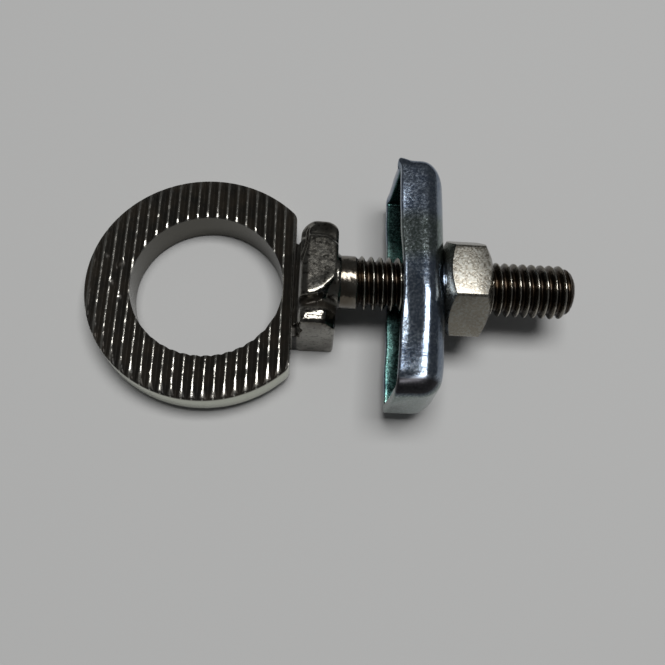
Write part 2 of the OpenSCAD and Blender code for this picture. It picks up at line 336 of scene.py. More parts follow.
for vertex in ring.data.vertices:
    for dent_x, dent_y, dent_r in DENTS:
        gap = math.hypot(vertex.co.x / MM - dent_x, vertex.co.y / MM - dent_y)
        if gap < 2.5 * dent_r and vertex.co.z > RING_T / 2 * MM:
            flat = (RING_T - DENT_DEPTH) * MM
            vertex.co.z += (flat - vertex.co.z) * math.exp(-(gap / dent_r) ** 4)


def ring_outline(inset, count=288):
    """Points round the D outline, its round side drawn in by inset."""
    radius = RING_R - inset
    corner_x = FLAT_X - FLAT_CORNER_R
    corner_y = math.sqrt((RING_R - FLAT_CORNER_R) ** 2 - corner_x ** 2)
    sweep = math.atan2(corner_y, corner_x)
    split = corner_y / (corner_y + sweep * FLAT_CORNER_R)
    points = []
    for i in range(count):
        angle = 2 * math.pi * i / count
        angle = angle if angle <= math.pi else angle - 2 * math.pi
        share = abs(angle) / sweep
        side = math.copysign(1, angle)
        if share > 1:
            points.append((radius * math.cos(angle), radius * math.sin(angle)))
        elif share < split:
            points.append((FLAT_X, side * corner_y * share / split))
        else:
            bend = sweep * (share - split) / (1 - split)
            draw = inset * (share - split) / (1 - split)
            arc_r = FLAT_CORNER_R - draw
            points.append((corner_x + arc_r * math.cos(bend) + draw * (1 - math.cos(sweep)),
                           side * (corner_y + arc_r * math.sin(bend))))
    return points


def bore_loop(radius, level, count=288):
    """A circle of points round the bore."""
    return [(radius * math.cos(2 * math.pi * i / count), radius * math.sin(2 * math.pi * i / count), level)
            for i in range(count)]


ring_loops = []
for k in range(9):
    bend = math.radians(90 * k / 8)
    level = UNDERSIDE_EDGE_R * (1 - math.cos(bend))
    inset = UNDERSIDE_EDGE_R * (1 - math.sin(bend))
    ring_loops.append([(x, y, level) for x, y in ring_outline(inset)])
for above_roll, inset in ((-0.25, 0.0), (-0.08, 0.04), (0.1, 0.2), (ROLL_DROP + 1, 0.3)):
    ring_loops.append([(x, y, RING_T - ROLL_DROP + above_roll) for x, y in ring_outline(inset)])
ring_loops += [bore_loop(BORE_R, RING_T + 1), bore_loop(BORE_R, BORE_CHAMFER),
               bore_loop(BORE_R + BORE_CHAMFER, 0.0)]
combined(ring, swept("ring_blank", ring_loops, plated_forging), "INTERSECT")


# Lug of the eye bolt: the forging's T-shaped head, which slides in the fork end's slot.
# The dies left a raised boss at the stud's root with an askew near end, a valley, a bead
# along the near shoulder and a lower far shoulder, all with rounded edges.
LUG_END_X = 14.66
LUG_NEAR_Y = -5.85
LUG_FAR_Y = 6.45
LUG_DRAFT = 0.05
LUG_EDGE_NEAR = 0.45
LUG_EDGE_FAR = 0.6
LUG_EDGE_RIGHT = 0.5
LUG_BEVEL_W = 0.85
LUG_BEVEL_SLOPE = 0.7
LUG_STEEP_W = 0.27
LUG_STEEP_SLOPE = 2.2
SKEW_FROM_X = 11.2
BEAD_Y = -4.6
BEAD_Z = 8.95
BEAD_SKEW = 0.18
VALLEY_END_DROP = 1.6
BOSS_Z = 10.08
BOSS_EDGE_Y = -2.55
BOSS_SKEW = 2.5
BOSS_HOLLOW_X = 13.0
BOSS_HOLLOW = 0.1
FAR_STEP_Y = 4.15
FAR_STEP_SKEW = 0.9
FAR_STEP_DROP = 0.3
FAR_SLOPE_DROP = 0.45
STUD_Z = 6.83
STUD_R = 3.0
VOXEL = 0.12
BEAD_GRAIN = 0.06
NOTCH_PLACE = Vector((10.25, -5.95, 6.4))
NOTCH_R = 0.85


def ease(value, low, high):
    """0 below low, 1 above high, and a smooth rise between them."""
    share = min(max((value - low) / (high - low), 0.0), 1.0)
    return share * share * (3 - 2 * share)


def lug_outline(inset):
    """Points round the lug seen from above, with the outward direction at each."""
    corners = [(LUG_END_X, LUG_NEAR_Y, 0.35, -90), (LUG_END_X, LUG_FAR_Y, 1.6, 0),
               (LUG_X, LUG_FAR_Y, 1.8, 90), (LUG_X, LUG_NEAR_Y, 0.4, 180)]
    arcs = []
    for x, y, radius, start in corners:
        bend_r = max(radius - inset, 0.05)
        centre_x = x + (inset + bend_r) * (-1 if x == LUG_END_X else 1)
        centre_y = y + (inset + bend_r) * (1 if y == LUG_NEAR_Y else -1)
        turns = [math.radians(start + 90 * i / 12) for i in range(13)]
        arcs.append([(centre_x + bend_r * math.cos(turn), centre_y + bend_r * math.sin(turn), turn)
                     for turn in turns])
    points = []
    for k, arc in enumerate(arcs):
        (x0, y0, turn), (x1, y1, _) = arc[-1], arcs[(k + 1) % 4][0]
        steps = 60 if k in (0, 2) else 20
        points += arc
        points += [(x0 + (x1 - x0) * i / steps, y0 + (y1 - y0) * i / steps, turn) for i in range(1, steps)]
    return points


def lug_top(x, y):
    """Height of the lug's upper side, from the near bead over the valley and boss."""
    boss_edge = BOSS_EDGE_Y + BOSS_SKEW * min(max((x - SKEW_FROM_X) / 3.5, 0), 1) ** 2.2
    boss_edge += 0.2 * noise.noise(Vector((x / 0.55, 4.2, 0.7)))
    past_bead = y - BEAD_Y - BEAD_SKEW * (x - SKEW_FROM_X)
    low = BEAD_Z - (past_bead ** 2 / 8.0 if past_bead < 0 else 0.36 * past_bead ** 1.3)
    low -= VALLEY_END_DROP * ease(x, 13.1, 15.0) * (1 - ease(y, -2.6, -0.6))
    past_edge = max(boss_edge - y, 0.0)
    height = max(low, BOSS_Z - past_edge ** 2 / 3.6 - 5.0 * max(past_edge - 0.5, 0.0))
    hollow = math.exp(-((x - BOSS_HOLLOW_X) / 0.9) ** 2)
    height -= BOSS_HOLLOW * hollow * ease(y, boss_edge + 0.3, boss_edge + 1.5)
    step_y = FAR_STEP_Y - FAR_STEP_SKEW * ease(x, 13.2, 14.7)
    height -= FAR_STEP_DROP * ease(y, step_y - 0.2, step_y + 0.1)
    return height - FAR_SLOPE_DROP * ease(y, 4.3, 6.4) ** 1.5


def lug_edge_drop(y, turn, inset):
    """How far the lug's upper edge has dropped at an inset from its side."""
    def rounded(radius):
        short = max(radius - inset, 0.0)
        return radius - math.sqrt(radius * radius - short * short)
    side, end = math.cos(turn), math.sin(turn)
    bevel_w = LUG_BEVEL_W * (0.75 + 0.25 * ease(y, -4.2, -3.2))
    bevel = LUG_BEVEL_SLOPE * max(bevel_w - inset, 0.0)
    steep_from = LUG_STEEP_W + 0.6 * ease(y, 0.8, 3.8)
    bevel += LUG_STEEP_SLOPE * min(max(steep_from - inset, 0.0), LUG_STEEP_W)
    return (side * side * (rounded(LUG_EDGE_RIGHT) if side > 0 else bevel)
            + end * end * rounded(LUG_EDGE_FAR if end > 0 else LUG_EDGE_NEAR))


lug_loops = []
for level in (0.0, 2.0, 4.0, 6.0):
    draft = -LUG_DRAFT * (1 - level / 8)
    lug_loops.append([(x, y, level) for x, y, _ in lug_outline(draft)])
for inset in (0.0, 0.02, 0.06, 0.12, 0.2, 0.3, 0.45, 0.6, 0.8, 1.0, 1.25, 1.5, 1.75, 1.95, 2.05):
    lug_loops.append([(x, y, lug_top(x, y) - lug_edge_drop(y, turn, inset))
                      for x, y, turn in lug_outline(inset)])
lug = swept("lug", lug_loops, plated_forging, closed=False)


def prism(name, points, low, high):
    """A closed straight prism over an outline in X and Y."""
    return swept(name, [[(x, y, level) for x, y in points] for level in (low, high)],
                 plated_forging, closed=False)


def turned_bar(name, profile, count=64):
    """A bar turned about the stud's axis, from (x, radius) points."""
    loops = []
    for x, radius in profile:
        loops.append([(x, radius * math.cos(2 * math.pi * i / count),
                       STUD_Z + radius * math.sin(2 * math.pi * i / count)) for i in range(count)])
    return swept(name, loops, plated_forging, closed=False)


neck = prism("neck", [(FLAT_X - 0.6, -5.9), (LUG_X + 0.8, -5.75), (LUG_X + 0.8, 5.6), (LUG_X - 0.1, 5.75),
                      (FLAT_X - 0.6, 6.2)], 0.05, RING_T - 0.45)
web = swept("web", [[(FLAT_X - 0.1, y, 3.0), (LUG_X + 0.6, y, 3.0), (LUG_X + 0.6, y, 6.3),
                     (LUG_X - 0.05, y, 5.9), (FLAT_X + 0.1, y, RING_T - 0.5)] for y in (-4.6, 5.5)],
            plated_forging, closed=False)
root = turned_bar("stud_root", [(12.0, 2.8), (LUG_END_X - 0.4, 3.1), (LUG_END_X + 0.1, 3.15),
                                (LUG_END_X + 0.3, 3.0), (LUG_END_X + 0.6, 2.75)])
work = bmesh.new()
for block in (lug, neck, web, root):
    work.from_mesh(block.data)
work.to_mesh(lug.data)
work.free()
for block in (neck, web, root):
    bpy.data.objects.remove(block)
remesh = lug.modifiers.new("remesh", "REMESH")
remesh.mode = "VOXEL"
remesh.voxel_size = VOXEL * MM
soften = lug.modifiers.new("soften", "SMOOTH")
soften.factor = 0.5
soften.iterations = 4
applied(lug)
for vertex in lug.data.vertices:
    from_notch = vertex.co / MM - NOTCH_PLACE
    if from_notch.length < NOTCH_R:
        vertex.co = (NOTCH_PLACE + from_notch.normalized() * NOTCH_R) * MM


def roughened(piece, amount_mm, size_mm, seed):
    """Moves every point along its normal by smooth noise, as dies and presses leave it."""
    shift = Vector((seed, 2 * seed, 3 * seed))
    normals = [vertex.normal.copy() for vertex in piece.data.vertices]
    for vertex, normal in zip(piece.data.vertices, normals):
        value = noise.fractal(vertex.co / (size_mm * MM) + shift, 0.6, 2.0, 3)
        vertex.co += normal * value * amount_mm * MM


roughened(lug, 0.008, 0.7, 4.0)
for vertex in lug.data.vertices:
    place_mm = vertex.co / MM
    on_bead = ease(-place_mm.y, 4.0, 4.6) * ease(place_mm.z, 7.6, 8.4)
    vertex.co.z += BEAD_GRAIN * MM * on_bead * noise.noise(place_mm / 0.33)
for vertex in lug.data.vertices:
    vertex.co.z = max(vertex.co.z, 0.0)
lug.data.materials.clear()
lug.data.materials.append(plated_forging)
combined(ring, lug, "UNION")
clean(ring)
shaded(ring, 34)
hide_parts("eye_bolt")
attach(ring, "eye_bolt")


# Stud of the eye bolt: M6 with a rolled thread of 1 mm pitch and a short plain shank.
# Rolling leaves rounded roots and crests, and the free end is cut with a chamfer.
THREAD_PITCH = 1.0
THREAD_START_X = 16.35
THREAD_DEPTH = 0.6
RUN_IN_PITCHES = 1.1
SHANK_R = 2.93
STUD_BACK_X = 13.6
STUD_END_X = 40.8
STUD_CHAMFER = 0.85
CHAMFER_SLOPE = 0.75
END_ROUND_W = 0.25
END_ROUND_DROP = 0.2
CREST_AT_FAR_SIDE_X = 17.26
STEPS_ROUND = 72
STEPS_PER_TURN = 16

# Rolled steel under the same thin plating. The crests are rubbed bright, while oil and
# dust stay brown in the roots. Its grain is drawn coarser than the real one, to show.
rolled_thread, tree, shader, place = metal("rolled_thread_steel")
from_axis = add(tree, "ShaderNodeVectorMath", [place, (0, 0, STUD_Z * MM)], operation="SUBTRACT")
across = add(tree, "ShaderNodeVectorMath", [from_axis, (0, 1, 1)], operation="MULTIPLY")
radius = add(tree, "ShaderNodeVectorMath", [across], operation="LENGTH").outputs["Value"]
rootward = add(tree, "ShaderNodeMapRange", [radius, (STUD_R - 0.45) * MM, (STUD_R - 0.1) * MM, 1.0, 0.0])
stain = add(tree, "ShaderNodeTexNoise", {"Vector": place, "Scale": 1 / (1.8 * MM), "Detail": 3})
grain = add(tree, "ShaderNodeTexNoise", {"Vector": place, "Scale": 1 / (0.25 * MM), "Detail": 4})
round_bar = add(tree, "ShaderNodeMapping", {"Vector": place, "Scale": (1, 0.08, 0.08)})
turning_lines = add(tree, "ShaderNodeTexNoise", {"Vector": round_bar, "Scale": 1 / (0.22 * MM),
                                                 "Detail": 3})
stain_share = add(tree, "ShaderNodeMapRange", [stain, 0.35, 0.65, 0.0, 1.0])
bright = add(tree, "ShaderNodeMix", {0: stain_share, 6: linear("#7c7870"), 7: linear("#625b51")},
             data_type="RGBA")
oily = add(tree, "ShaderNodeMix", {0: stain_share, 6: linear("#2b2622"), 7: linear("#463b2f")},
           data_type="RGBA")
crestward = add(tree, "ShaderNodeMapRange", [radius, (STUD_R - 0.05) * MM, (STUD_R - 0.01) * MM, 0.0, 1.0])
rubbed = add(tree, "ShaderNodeMix", {0: crestward, 6: bright.outputs[2], 7: linear("#a9a59b")},
             data_type="RGBA")
colour = add(tree, "ShaderNodeMix", {0: rootward, 6: rubbed.outputs[2], 7: oily.outputs[2]},
             data_type="RGBA")
tree.links.new(colour.outputs[2], shader.inputs["Base Color"])
roughness = add(tree, "ShaderNodeMapRange", [grain, 0.3, 0.7, 0.12, 0.26])
rough_roots = add(tree, "ShaderNodeMath", [rootward, 0.12, roughness], operation="MULTIPLY_ADD")
tree.links.new(rough_roots.outputs[0], shader.inputs["Roughness"])
line_bump = add(tree, "ShaderNodeBump", {"Height": turning_lines, "Distance": 0.035 * MM})
bump = add(tree, "ShaderNodeBump", {"Height": grain, "Distance": 0.012 * MM, "Normal": line_bump})
tree.links.new(bump.outputs[0], shader.inputs["Normal"])

# The threaded bar: a grid whose columns follow the helix. Each point's place along the
# stud comes from its column and its angle, and its radius from its place in the pitch.
thread_sizes = {
    "Radius": STUD_R * MM, "Shank radius": SHANK_R * MM, "Depth": THREAD_DEPTH * MM,
    "Pitch": THREAD_PITCH * MM, "Back": STUD_BACK_X * MM, "Start": THREAD_START_X * MM,
    "End": STUD_END_X * MM, "Crest": CREST_AT_FAR_SIDE_X * MM, "Axis height": STUD_Z * MM,
    "Run-in pitches": RUN_IN_PITCHES, "Chamfer": STUD_CHAMFER * MM, "Chamfer slope": CHAMFER_SLOPE,
    "End round width": END_ROUND_W * MM, "End round drop": END_ROUND_DROP * MM}
tree, given = geometry_tree("rolled_thread", thread_sizes)
length = add(tree, "ShaderNodeMath", [given["End"], given["Back"]], operation="SUBTRACT")
pitches = add(tree, "ShaderNodeMath", [length, given["Pitch"]], operation="DIVIDE")
turns = add(tree, "ShaderNodeMath", [pitches], operation="CEIL")
columns = add(tree, "ShaderNodeMath", [turns, STEPS_PER_TURN, 2 * STEPS_PER_TURN],
              operation="MULTIPLY_ADD")
points = add(tree, "ShaderNodeMath", [columns, 1.0], operation="ADD")
grid = add(tree, "GeometryNodeMeshGrid", [1.0, 1.0, points, STEPS_ROUND + 1])
here = add(tree, "GeometryNodeInputPosition")
u, v, _ = add(tree, "ShaderNodeSeparateXYZ", [here]).outputs
half_on = add(tree, "ShaderNodeMath", [u, 0.5], operation="ADD")
column_raw = add(tree, "ShaderNodeMath", [half_on, columns], operation="MULTIPLY")
column = add(tree, "ShaderNodeMath", [column_raw], operation="ROUND")
turn = add(tree, "ShaderNodeMath", [v, 0.5], operation="ADD")
along = add(tree, "ShaderNodeMath", [column, 1 / STEPS_PER_TURN, turn], operation="MULTIPLY_ADD")
from_back = add(tree, "ShaderNodeMath", [along, 1.5], operation="SUBTRACT")
free_x = add(tree, "ShaderNodeMath", [from_back, given["Pitch"], given["Back"]],
             operation="MULTIPLY_ADD")
past_back = add(tree, "ShaderNodeMath", [free_x, given["Back"]], operation="MAXIMUM")
x = add(tree, "ShaderNodeMath", [past_back, given["End"]], operation="MINIMUM")
from_crest = add(tree, "ShaderNodeMath", [x, given["Crest"]], operation="SUBTRACT")
in_pitches = add(tree, "ShaderNodeMath", [from_crest, given["Pitch"]], operation="DIVIDE")
phase = add(tree, "ShaderNodeMath", [in_pitches, turn], operation="SUBTRACT")
off_crest = add(tree, "ShaderNodeMath", [phase, 0.5], operation="PINGPONG")
flank = add(tree, "ShaderNodeMapRange", [off_crest, 0.04, 0.42, 0.0, given["Depth"]])
rounded = add(tree, "ShaderNodeMapRange", [off_crest, 0.0, 0.46, 0.0, given["Depth"]],
              interpolation_type="SMOOTHSTEP")
mean = add(tree, "ShaderNodeMath", [flank, rounded], operation="ADD")
cut_radius = add(tree, "ShaderNodeMath", [mean, -0.5, given["Radius"]], operation="MULTIPLY_ADD")
run_in_end = add(tree, "ShaderNodeMath", [given["Pitch"], given["Run-in pitches"], given["Start"]],
                 operation="MULTIPLY_ADD")
formed = add(tree, "ShaderNodeMapRange", [x, given["Start"], run_in_end, 0.0, 1.0],
             interpolation_type="SMOOTHSTEP")
bar = add(tree, "ShaderNodeMix", {0: formed, 2: given["Shank radius"], 3: cut_radius})
to_end = add(tree, "ShaderNodeMath", [given["End"], x], operation="SUBTRACT")
face_radius = add(tree, "ShaderNodeMath", [given["Radius"], given["Chamfer"]], operation="SUBTRACT")
cone = add(tree, "ShaderNodeMath", [to_end, given["Chamfer slope"], face_radius],
           operation="MULTIPLY_ADD")
end_round = add(tree, "ShaderNodeMapRange", [
    to_end, 0.0, given["End round width"], given["End round drop"], 0.0], interpolation_type="SMOOTHSTEP")
chamfered = add(tree, "ShaderNodeMath", [cone, end_round], operation="SUBTRACT")
limited = add(tree, "ShaderNodeMath", [bar, chamfered], operation="MINIMUM")
after_first = add(tree, "ShaderNodeMath", [column, 0.5], operation="GREATER_THAN")
near_last = add(tree, "ShaderNodeMath", [columns, 0.5], operation="SUBTRACT")
before_last = add(tree, "ShaderNodeMath", [column, near_last], operation="LESS_THAN")
inside = add(tree, "ShaderNodeMath", [after_first, before_last], operation="MULTIPLY")
radius = add(tree, "ShaderNodeMath", [limited, inside], operation="MULTIPLY")
angle = add(tree, "ShaderNodeMath", [turn, 2 * math.pi], operation="MULTIPLY")
cosine = add(tree, "ShaderNodeMath", [angle], operation="COSINE")
sine = add(tree, "ShaderNodeMath", [angle], operation="SINE")
y = add(tree, "ShaderNodeMath", [radius, cosine], operation="MULTIPLY")
z = add(tree, "ShaderNodeMath", [radius, sine, given["Axis height"]], operation="MULTIPLY_ADD")
moved = add(tree, "ShaderNodeCombineXYZ", [x, y, z])
shaped = add(tree, "GeometryNodeSetPosition", {"Geometry": grid, "Position": moved})
welded = add(tree, "GeometryNodeMergeByDistance", {"Geometry": shaped, "Distance": 0.0015 * MM})
end_tree(tree, welded, rolled_thread)
stud = piece_from_tree("threaded_stud", tree, thread_sizes)
clean(stud)
roughened(stud, 0.03, 0.5, 2.0)
shaded(stud, 50)
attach(stud, "eye_bolt")


# End cap: one piece of 1 mm sheet steel pressed into a shallow tray and zinc plated.
# It closes over the end of the fork end's plate, and the nut bears on its closed face.
# The press drew the long walls in towards the rim, and left the rim wavy and flared.
CAP_X = 26.25
CAP_HALF_W = 13.75
CAP_HALF_H = 4.9
CAP_T = 1.0
CAP_BEND_R = 2.7
CAP_CORNER_R = 1.3
CAP_NEAR_EXTRA_R = 0.9
CAP_HOLE_R = 3.3
CAP_RIDGE_DEPTH = 2.05
CAP_SINK = 0.6
CAP_CREASE_Y = 1.0
CAP_CREASE_SKEW = 3.5
CAP_CREASE_L = 11.5
CAP_CREASE_DROP = 0.62
CAP_CREASE_TURN = math.pi * 0.62
CAP_END_BULGE = 0.25
CAP_BOW = 0.25
RIM_UPPER = 4.8
RIM_LOWER = 5.5
RIM_DIP = 0.3
RIM_NEAR_RISE = 0.15
RIM_RIPPLE = 0.08
EAR_REACH = 0.3
EAR_Y = 13.2
EAR_Z = 4.6
EAR_FLARE_Y = 0.25
EAR_FLARE_Z = 0.1
SMEAR_Y = 4.0
SMEAR_HALF_W = (1.8, 3.4)
DARK_CORNER_Y = (-11.7, -12.3)
DARK_CORNER_RISE = (2.6, 3.2)


def cap_outline(inset, far_r):
    """Points (y, z) round the cap's outline, drawn in by inset; the upper near corner is rounder."""
    arcs = []
    for side_y, side_z, start in ((1, 1, 0), (-1, 1, 90), (-1, -1, 180), (1, -1, 270)):
        radius = far_r + CAP_NEAR_EXTRA_R if side_y < 0 < side_z else far_r
        turns = [math.radians(start + 90 * i / 12) for i in range(13)]
        arcs.append([(side_y * (CAP_HALF_W - inset - radius) + radius * math.cos(turn),
                      side_z * (CAP_HALF_H - inset - radius) + radius * math.sin(turn)) for turn in turns])
    points = []
    for k, arc in enumerate(arcs):
        (y0, z0), (y1, z1) = arc[-1], arcs[(k + 1) % 4][0]
        steps = 72 if k in (0, 2) else 22
        points += arc
        points += [(y0 + (y1 - y0) * i / steps, z0 + (z1 - z0) * i / steps) for i in range(1, steps)]
    return points


def rim_depth(y, z):
    """How far the wall reaches from the closed face at a place on the outline."""
    upper = RIM_UPPER - RIM_DIP * math.exp(-((y + 1.0) / 5.0) ** 2)
    upper += RIM_NEAR_RISE * ease(-y, 10.5, 13.7)
    share = (z + CAP_HALF_H) / (2 * CAP_HALF_H)
    ear = EAR_REACH * math.exp(-((y - EAR_Y) / 0.5) ** 2 - ((z - EAR_Z) / 0.5) ** 2)
    ripple = RIM_RIPPLE * noise.noise(Vector((y / 2.6, z / 2.6, 3.7)))
    return RIM_LOWER + (upper - RIM_LOWER) * share + ripple + ear


def face_bow(y):
    """How far the closed face lies back from its plane towards its near end."""
    return CAP_BOW * ease(-y, 2.0, 14.0)


def drawn_wall(y, z, to_rim):
    """Moves a wall's point: long walls sink from their ridge and end in a level lip, a crease
    runs askew over the upper near half, and the upper far corner flares into an ear."""
    on_long = (1 - 0.6 * ease(y, 5.5, 12.5)) * ease(13.7 - y, 0.0, 0.6) * ease(y + 13.0, 0.0, 1.6)
    upper = ease(z, 2.2, 4.2) - 0.6 * ease(-z, 2.2, 4.2)
    waves = 1 + 0.14 * noise.noise(Vector((y / 3.0, 1.3, 5.1)))
    lip_start = 0.93 - 0.16 * math.exp(-((y + 6.5) / 3.0) ** 2)
    sunk = CAP_SINK * waves * (0.75 * min(to_rim / lip_start, 1.0) + 0.25 * ease(to_rim, 0.0, lip_start))
    crease_y = CAP_CREASE_Y - CAP_CREASE_SKEW * (1 - to_rim)
    past_crease = min(max((crease_y - y) / CAP_CREASE_L, 0.0), 1.0)
    crown = CAP_CREASE_DROP * math.sin(CAP_CREASE_TURN * past_crease) * ease(z, 1.0, 4.2)
    bulge = CAP_END_BULGE * math.exp(-((z - 0.5) / 2.5) ** 2) * ease(to_rim, 0.2, 1.0)
    on_end = ease(abs(y), CAP_HALF_W - 1.2, CAP_HALF_W - 0.6) * math.copysign(1, y)
    ear = ease(y, 12.0, 13.6) * ease(z, 2.5, EAR_Z) * ease(to_rim, 0.5, 1.0)
    return (y + bulge * on_end + EAR_FLARE_Y * ear,
            z - upper * on_long * sunk - crown + EAR_FLARE_Z * ear)


def cap_loop(inset, radius, depth, to_rim):
    """A loop of the walls: at a depth from the face, or at a share of the way to the rim."""
    loop = []
    for (y, z), (rim_y, rim_z) in zip(cap_outline(inset, radius), cap_outline(0, CAP_CORNER_R)):
        rim = rim_depth(rim_y, rim_z)
        reach = depth + to_rim * (rim - CAP_BEND_R)
        past_ridge = min(max((reach - CAP_RIDGE_DEPTH) / (rim - CAP_RIDGE_DEPTH), 0.0), 1.0)
        moved_y, moved_z = drawn_wall(y, z, past_ridge)
        loop.append((CAP_X - face_bow(y) - reach, moved_y, STUD_Z + moved_z))
    return loop


def face_loop(depth, share):
    """A loop of the closed face between the round hole (share 0) and the bend (share 1)."""
    loop = []
    for y, z in cap_outline(CAP_BEND_R, 1.0):
        angle = math.atan2(z, y)
        hole_y, hole_z = CAP_HOLE_R * math.cos(angle), CAP_HOLE_R * math.sin(angle)
        place_y = hole_y + (y - hole_y) * share
        loop.append((CAP_X - face_bow(place_y) - depth, place_y,
                     STUD_Z + hole_z + (z - hole_z) * share))
    return loop


# Zinc plate with a blue passivation over pressed sheet: blue and violet clouds, paler
# where the press rubbed it, spangles drawn coarse enough to show, a dull green smear and
# a painted dark reflection, dark brown, on the upper side of the rounder near corner. Inside,
# where nothing rubs, the film is greener, and it is painted darker as shade inside the tray.
zinc_sheets = []
for name, cloud_a, cloud_b, tint, spark, rough_low in (
        ("blue_zinc_plate", "#66748a", "#85919f", "#77827a", "#c3cbd2", 0.12),
        # Inside: a greener film, painted darker as shade inside the tray.
        ("shaded_green_zinc_inside", "#3a5b5c", "#557873", "#9cc6be", "#7ea29d", 0.19)):
    zinc, tree, shader, place = metal(name)
    cloud = add(tree, "ShaderNodeTexNoise", {"Vector": place, "Scale": 1 / (3.2 * MM), "Detail": 4,
                                             "Roughness": 0.6})
    spangle = add(tree, "ShaderNodeTexNoise", {"Vector": place, "Scale": 1 / (0.28 * MM), "Detail": 4,
                                               "Roughness": 0.65})
    cloud_share = add(tree, "ShaderNodeMapRange", [cloud, 0.35, 0.65, 0.0, 1.0])
    film = add(tree, "ShaderNodeMix", {0: cloud_share, 6: linear(cloud_a), 7: linear(cloud_b)},
               data_type="RGBA")
    _, along, up = add(tree, "ShaderNodeSeparateXYZ", [place]).outputs
    off_smear = add(tree, "ShaderNodeMath", [along, SMEAR_Y * MM], operation="SUBTRACT")
    smear_gap = add(tree, "ShaderNodeMath", [off_smear], operation="ABSOLUTE")
    wash_share = add(tree, "ShaderNodeMapRange", [
        smear_gap, SMEAR_HALF_W[0] * MM, SMEAR_HALF_W[1] * MM, 0.85, 0.0])
    # Painted dark reflection: the upper side of the near corner turns dark brown and rougher.
    at_end = add(tree, "ShaderNodeMapRange", [along, DARK_CORNER_Y[0] * MM, DARK_CORNER_Y[1] * MM, 0.0, 0.9])
    on_top = add(tree, "ShaderNodeMapRange", [
        up, (STUD_Z + DARK_CORNER_RISE[0]) * MM, (STUD_Z + DARK_CORNER_RISE[1]) * MM, 0.0, 1.0])
    dark_corner = add(tree, "ShaderNodeMath", [at_end, on_top], operation="MULTIPLY")
    end_wall = add(tree, "ShaderNodeMath", [at_end, dark_corner], operation="SUBTRACT")
    greener = add(tree, "ShaderNodeMath", [wash_share, end_wall], operation="MAXIMUM")
    washed = add(tree, "ShaderNodeMix", {0: greener, 6: film.outputs[2], 7: linear(tint)},
                 data_type="RGBA")
    spangle_share = add(tree, "ShaderNodeMapRange", [spangle, 0.45, 0.7, 0.0, 0.5])
    spangled = add(tree, "ShaderNodeMix", {0: spangle_share, 6: washed.outputs[2], 7: linear(spark)},
                   data_type="RGBA")
    colour = add(tree, "ShaderNodeMix", {0: dark_corner, 6: spangled.outputs[2], 7: linear("#2a2320")},
                 data_type="RGBA")
    tree.links.new(colour.outputs[2], shader.inputs["Base Color"])
    shine = add(tree, "ShaderNodeMapRange", [spangle, 0.3, 0.7, rough_low, rough_low + 0.14])
    roughness = add(tree, "ShaderNodeMath", [dark_corner, 0.3, shine], operation="MULTIPLY_ADD")
    tree.links.new(roughness.outputs[0], shader.inputs["Roughness"])
    cloud_bump = add(tree, "ShaderNodeBump", {"Height": cloud, "Distance": 0.03 * MM})
    bump = add(tree, "ShaderNodeBump", {"Height": spangle, "Distance": 0.016 * MM, "Normal": cloud_bump})
    tree.links.new(bump.outputs[0], shader.inputs["Normal"])
    zinc_sheets.append(zinc)

cap_loops = [face_loop(0.0, share) for share in (0, 0.04, 0.12, 0.3, 0.55, 0.8)]
for k in range(11):
    bend = math.radians(90 * k / 10)
    cap_loops.append(cap_loop(CAP_BEND_R * (1 - math.sin(bend)), 1.0 + 0.3 * k / 10,
                              CAP_BEND_R * (1 - math.cos(bend)), 0.0))
cap_loops += [cap_loop(0.0, CAP_CORNER_R, CAP_BEND_R, k / 12) for k in range(1, 13)]
for k in range(1, 8):
    bend = math.pi * k / 8
    edge = CAP_T / 2 * (1 - math.cos(bend))
    cap_loops.append(cap_loop(edge, CAP_CORNER_R - edge, CAP_BEND_R + 0.15 * math.sin(bend), 1.0))
inside_from = len(cap_loops) * len(cap_outline(0, CAP_CORNER_R))
cap_loops += [cap_loop(CAP_T, CAP_CORNER_R - CAP_T, CAP_BEND_R, k / 12) for k in range(12, 0, -1)]
inner_bend = CAP_BEND_R - CAP_T
for k in range(10, -1, -1):
    bend = math.radians(90 * k / 10)
    cap_loops.append(cap_loop(CAP_T + inner_bend * (1 - math.sin(bend)), 0.3,
                              CAP_T + inner_bend * (1 - math.cos(bend)), 0.0))
cap_loops += [face_loop(CAP_T, share) for share in (0.8, 0.55, 0.3, 0.12, 0.04, 0)]
cap = swept("pressed_cap", cap_loops, zinc_sheets[0])
cap.data.materials.append(zinc_sheets[1])
roughened(cap, 0.012, 2.0, 7.0)
for polygon in cap.data.polygons:
    if min(polygon.vertices) >= inside_from:
        polygon.material_index = 1
shaded(cap, 50)
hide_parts("end_cap")
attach(cap, "end_cap")


# Hexagon nut: M6, 10 mm across flats and 5 mm thick, chamfered at 30 degrees on both
# ends, with corners rounded by the drawing die. It draws the cap along the stud.
NUT_AF = 10.0
NUT_T = 5.0
NUT_X = CAP_X
NUT_FACE_R = 4.2
NUT_TURN = math.radians(1.7)
NUT_BORE_R = 3.05
NUT_MOUTH = 0.4
NUT_EDGE = 0.1
NUT_CORNER_R = 0.45

